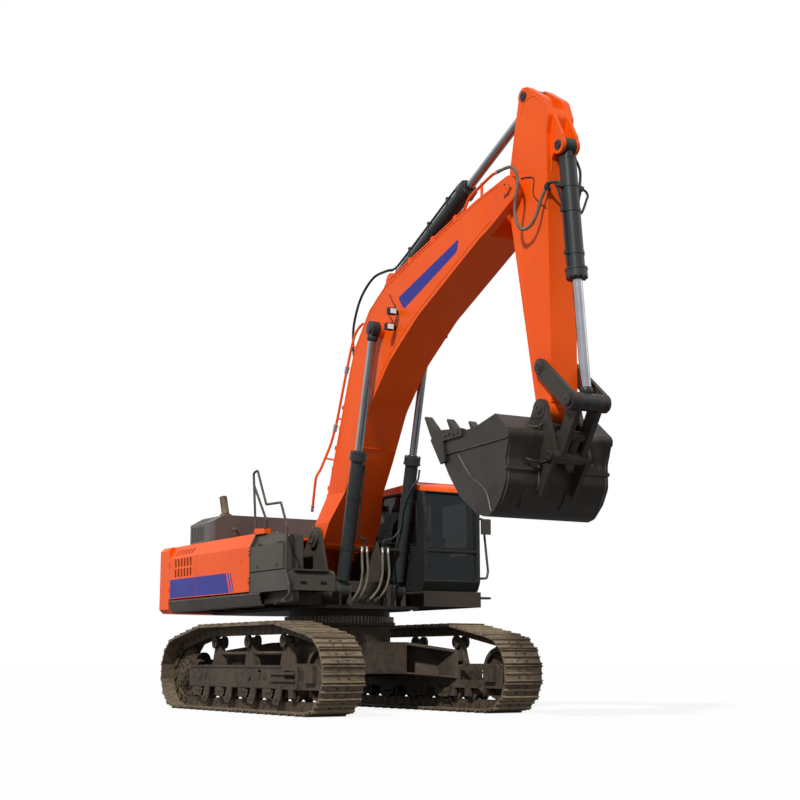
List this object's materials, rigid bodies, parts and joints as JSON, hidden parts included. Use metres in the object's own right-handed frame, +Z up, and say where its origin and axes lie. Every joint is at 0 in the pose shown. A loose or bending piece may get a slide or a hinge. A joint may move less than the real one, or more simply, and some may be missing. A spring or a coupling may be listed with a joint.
{
  "type": "crawler excavator",
  "caption": "Crawler excavator with cab, slewing upper structure, boom, arm and bucket raised on hydraulic cylinders, with doors and hood that open.",
  "frame": {"origin": "on the ground, on the axis of the slewing ring", "axes": "+X forwards along the tracks and the boom as parked, +Y to the operator's left, +Z up"},
  "size_m": [9.5728, 3.3713, 7.6219],
  "materials": {
    "orange_paint": "satin",
    "grey_paint": "satin",
    "grey_panel": "satin",
    "orange_panel": "satin",
    "dark_paint": "satin",
    "chrome": "polished",
    "pin_steel": "brushed",
    "track_steel": "worn",
    "undercarriage_paint": "dusty",
    "cast_weight": "painted",
    "glass": "clear",
    "seat_fabric": "matte",
    "dark_plastic": "matte",
    "engine_alloy": "matte",
    "bucket_steel": "worn"
  },
  "bodies": {
    "undercarriage": {"track_loop_left": "track_steel", "track_loop_right": "track_steel", "sprockets": "undercarriage_paint", "final_drives": "undercarriage_paint", "idlers": "undercarriage_paint", "track_rollers": "undercarriage_paint", "track_frame_left": "undercarriage_paint", "track_frame_right": "undercarriage_paint", "carbody": "undercarriage_paint", "slewing_ring": "pin_steel"},
    "upperstructure": {"revolving_frame": "dark_paint", "boom_towers": "dark_paint", "house_posts": "grey_panel", "cab_floor": "grey_panel", "cab_roof": "orange_panel", "cab_front_frame": "grey_panel", "cab_right_side": "grey_panel", "cab_left_side": "grey_panel", "cab_rear_wall": "grey_panel", "cab_deck": "grey_panel", "frame_pins": "pin_steel", "counterweight": "cast_weight", "house_covers": "grey_panel", "engine_block": "engine_alloy", "side_skirts": "grey_panel", "fuel_tank": "grey_panel", "storage_box": "grey_panel", "step_box": "grey_panel", "cab_windows": "glass", "operator_seat": "seat_fabric", "control_consoles": "dark_plastic", "handrails": "grey_paint"},
    "hood": {"engine_hood": "grey_panel", "exhaust_stack": "dark_paint"},
    "right_rear_door": {"right_rear_door": "orange_panel"},
    "right_front_door": {"right_front_door": "orange_panel"},
    "left_rear_door": {"left_rear_door": "orange_panel"},
    "left_front_door": {"left_front_door": "orange_panel"},
    "storage_door": {"storage_door": "grey_panel"},
    "roof_hatch": {"roof_hatch": "orange_panel"},
    "cab_door": {"cab_door": "grey_panel", "cab_door_glass": "glass"},
    "boom": {"boom": "orange_paint", "boom_pins": "pin_steel", "boom_pipes": "orange_paint", "work_lamps": "dark_plastic"},
    "boom_barrels": {"boom_cylinder_barrels": "dark_paint"},
    "boom_rods": {"boom_cylinder_rods": "chrome"},
    "arm": {"arm": "orange_paint", "arm_pins": "pin_steel", "bucket_cylinder_ears": "orange_paint"},
    "arm_barrel": {"arm_cylinder_barrel": "dark_paint"},
    "arm_rod": {"arm_cylinder_rod": "chrome"},
    "bucket": {"bucket": "bucket_steel", "bucket_sides": "bucket_steel", "bucket_pin": "pin_steel"},
    "bucket_barrel": {"bucket_cylinder_barrel": "dark_paint"},
    "bucket_rod": {"bucket_cylinder_rod": "chrome"},
    "rocker": {"rocker_levers": "bucket_steel"},
    "bucket_link": {"bucket_link": "bucket_steel"}
  },
  "joints": [
    {"name": "slew", "type": "hinge", "parent": "undercarriage", "child": "upperstructure", "pos_m": [0, 0, 1.3], "axis": [0, 0, 1], "continuous": true},
    {"name": "boom_lift", "type": "hinge", "parent": "upperstructure", "child": "boom", "pos_m": [0.12, 0, 2.42], "axis": [0, 1, 0], "range_deg": [-6, 80]},
    {"name": "boom_barrels_swing", "type": "hinge", "parent": "upperstructure", "child": "boom_barrels", "pos_m": [0.88, 0, 1.66], "axis": [0, 1, 0], "range_deg": [-6.17, 79.81]},
    {"name": "boom_rods_stroke", "type": "slide", "parent": "boom_barrels", "child": "boom_rods", "axis": [0.2361, 0, 0.9717], "range_m": [-1.4012, 0.1069]},
    {"name": "arm_swing", "type": "hinge", "parent": "boom", "child": "arm", "pos_m": [4.79, 0, 6.35], "axis": [0, -1, 0], "range_deg": [-25, 66]},
    {"name": "arm_barrel_swing", "type": "hinge", "parent": "boom", "child": "arm_barrel", "pos_m": [1.64, 0, 5.95], "axis": [0, -1, 0], "range_deg": [-2.39, 5.97]},
    {"name": "arm_rod_stroke", "type": "slide", "parent": "arm_barrel", "child": "arm_rod", "axis": [0.9065, 0, 0.4221], "range_m": [-1.2477, 0.4738]},
    {"name": "bucket_curl", "type": "hinge", "parent": "arm", "child": "bucket", "pos_m": [5.302, 0, 3.566], "axis": [0, -1, 0], "range_deg": [-10, 120]},
    {"name": "rocker_swing", "type": "hinge", "parent": "arm", "child": "rocker", "pos_m": [5.312, 0, 4.068], "axis": [0, -1, 0], "range_deg": [-8.27, 97.03]},
    {"name": "bucket_link_swing", "type": "hinge", "parent": "rocker", "child": "bucket_link", "pos_m": [5.865, 0, 3.585], "axis": [0, -1, 0], "range_deg": [-62.7, 5.41]},
    {"name": "bucket_barrel_swing", "type": "hinge", "parent": "arm", "child": "bucket_barrel", "pos_m": [5.58, 0, 6.72], "axis": [0, -1, 0], "range_deg": [-0.58, 4.77]},
    {"name": "bucket_rod_stroke", "type": "slide", "parent": "bucket_barrel", "child": "bucket_rod", "axis": [0.0905, 0, -0.9959], "range_m": [-1.11, 0.0943]},
    {"name": "hood_lift", "type": "hinge", "parent": "upperstructure", "child": "hood", "pos_m": [-2.76, 0, 2.47], "axis": [0, -1, 0], "range_deg": [0, 60]},
    {"name": "right_rear_door_swing", "type": "hinge", "parent": "upperstructure", "child": "right_rear_door", "pos_m": [-2.846, -1.5, 2.05], "axis": [0, 0, -1], "range_deg": [0, 90]},
    {"name": "right_front_door_swing", "type": "hinge", "parent": "upperstructure", "child": "right_front_door", "pos_m": [0.106, -1.5, 2.05], "axis": [0, 0, 1], "range_deg": [0, 90]},
    {"name": "left_rear_door_swing", "type": "hinge", "parent": "upperstructure", "child": "left_rear_door", "pos_m": [-2.846, 1.5, 2.05], "axis": [0, 0, 1], "range_deg": [0, 90]},
    {"name": "left_front_door_swing", "type": "hinge", "parent": "upperstructure", "child": "left_front_door", "pos_m": [-0.624, 1.5, 2.05], "axis": [0, 0, -1], "range_deg": [0, 90]},
    {"name": "storage_door_lift", "type": "hinge", "parent": "upperstructure", "child": "storage_door", "pos_m": [0.665, -1.487, 2.276], "axis": [-1, 0, 0], "range_deg": [0, 90]},
    {"name": "roof_hatch_lift", "type": "hinge", "parent": "upperstructure", "child": "roof_hatch", "pos_m": [0.366, 1.02, 3.1804], "axis": [0, -1, 0], "range_deg": [0, 80]},
    {"name": "cab_door_swing", "type": "hinge", "parent": "upperstructure", "child": "cab_door", "pos_m": [0.334, 1.5, 2.35], "axis": [0, 0, 1], "range_deg": [0, 175]}
  ],
  "couplings": [
    {"joint": "boom_barrels_swing", "follows": "boom_lift", "ratio": 0.9951},
    {"joint": "boom_rods_stroke", "follows": "boom_lift", "m_per_rad": -1.0021},
    {"joint": "arm_barrel_swing", "follows": "arm_swing", "ratio": 0.0875},
    {"joint": "arm_rod_stroke", "follows": "arm_swing", "m_per_rad": -1.0814},
    {"joint": "rocker_swing", "follows": "bucket_curl", "ratio": 0.80693},
    {"joint": "bucket_link_swing", "follows": "bucket_curl", "ratio": -0.52087},
    {"joint": "bucket_barrel_swing", "follows": "bucket_curl", "ratio": 0.03807},
    {"joint": "bucket_rod_stroke", "follows": "bucket_curl", "m_per_rad": -0.52904}
  ]
}
